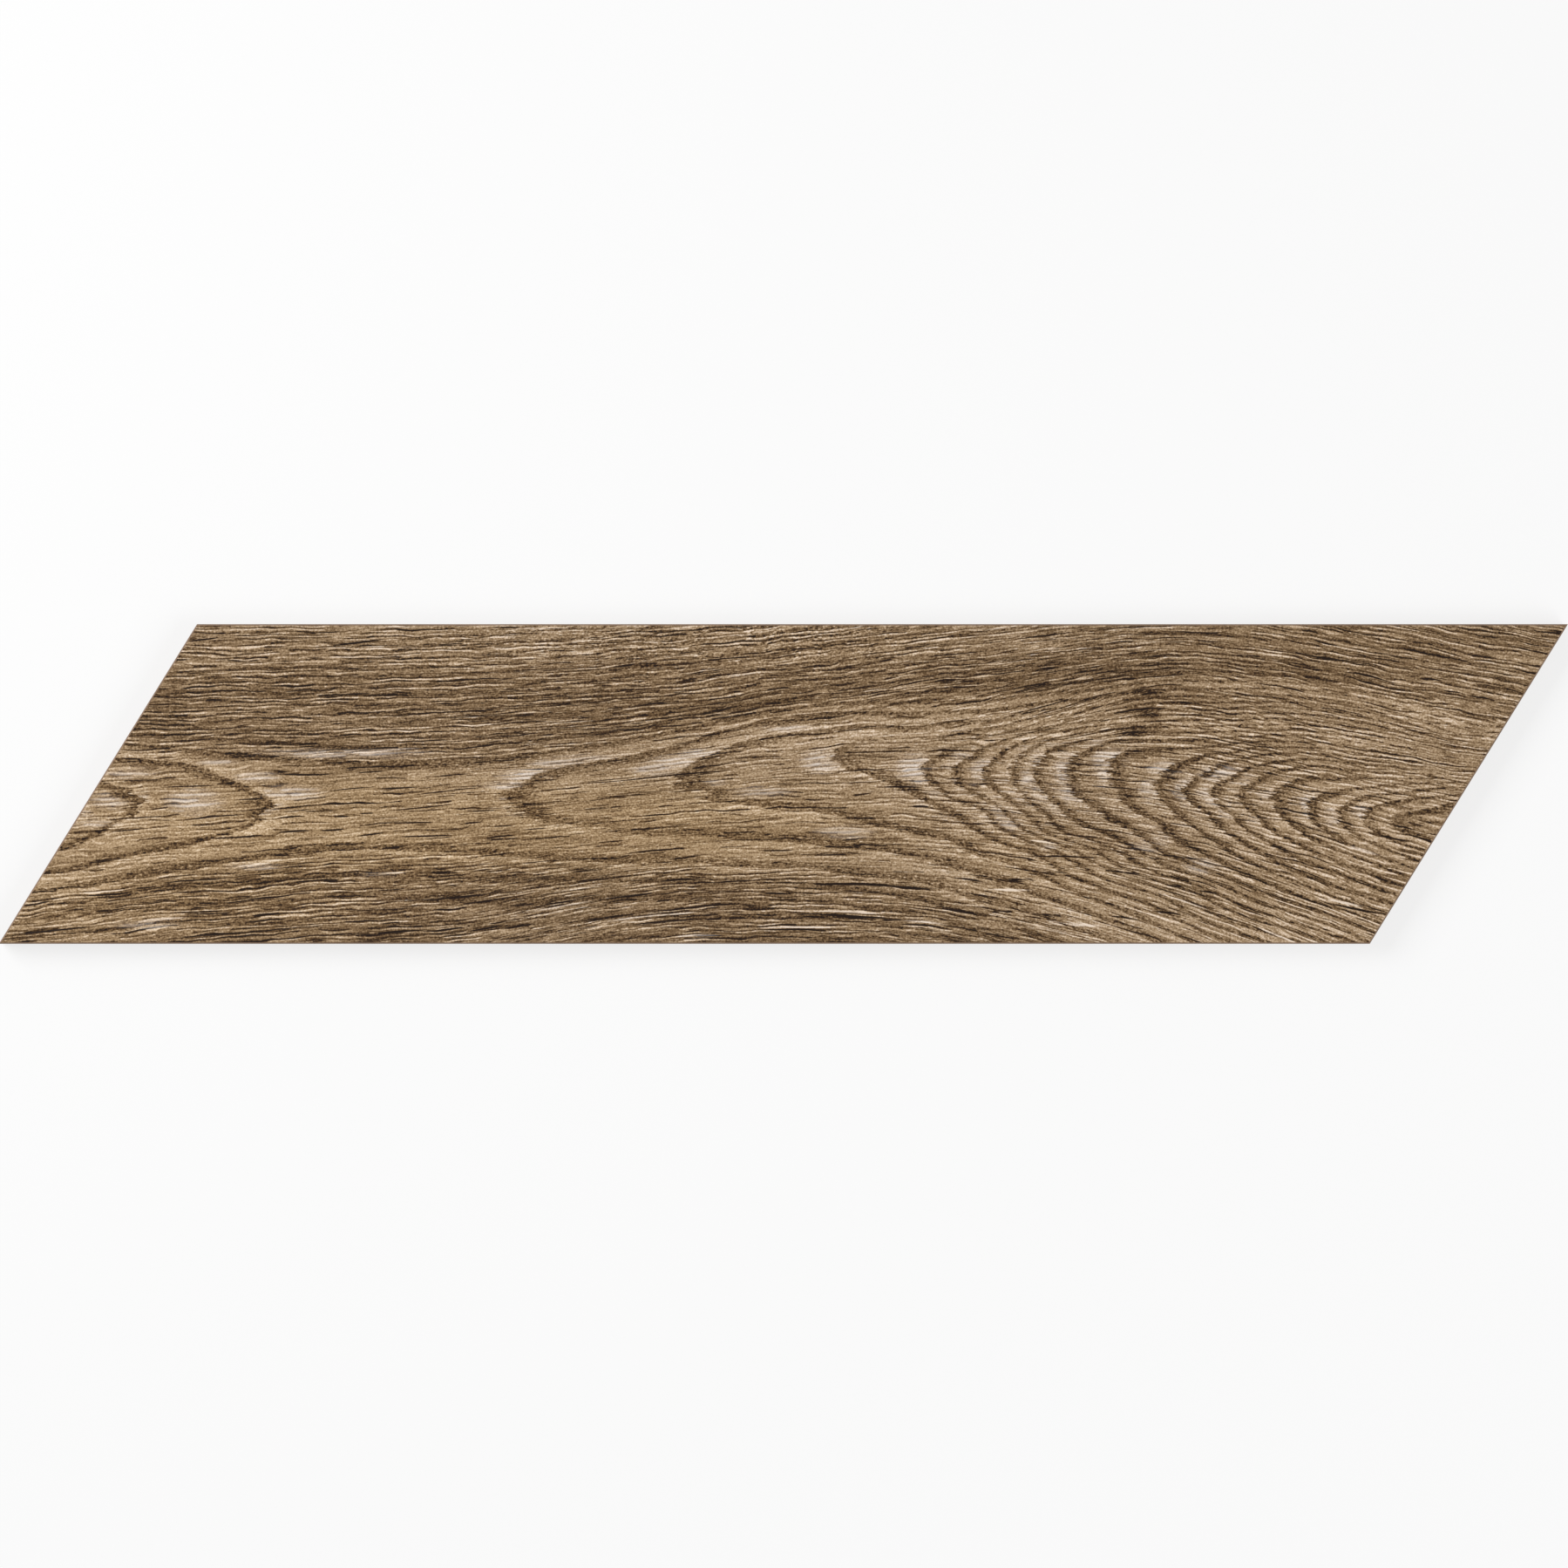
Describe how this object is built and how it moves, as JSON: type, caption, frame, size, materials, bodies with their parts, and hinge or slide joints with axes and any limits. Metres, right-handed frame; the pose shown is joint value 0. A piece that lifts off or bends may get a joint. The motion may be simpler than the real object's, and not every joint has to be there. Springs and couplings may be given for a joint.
{
  "type": "chevron porcelain tile",
  "caption": "Flat parallelogram floor tile of wood-look porcelain, with slanted ends, bevelled edges and a shallow keyed back for adhesive, for laying in a chevron pattern.",
  "frame": {"origin": "under the middle of the tile, on the plane of its back", "axes": "+X along the long edges, +Y square across the tile, +Z out of the wear face"},
  "size_m": [0.54, 0.11, 0.01],
  "materials": {
    "wood_look_porcelain": "matte"
  },
  "bodies": {
    "root": {"chevron_tile": "wood_look_porcelain"}
  },
  "joints": []
}
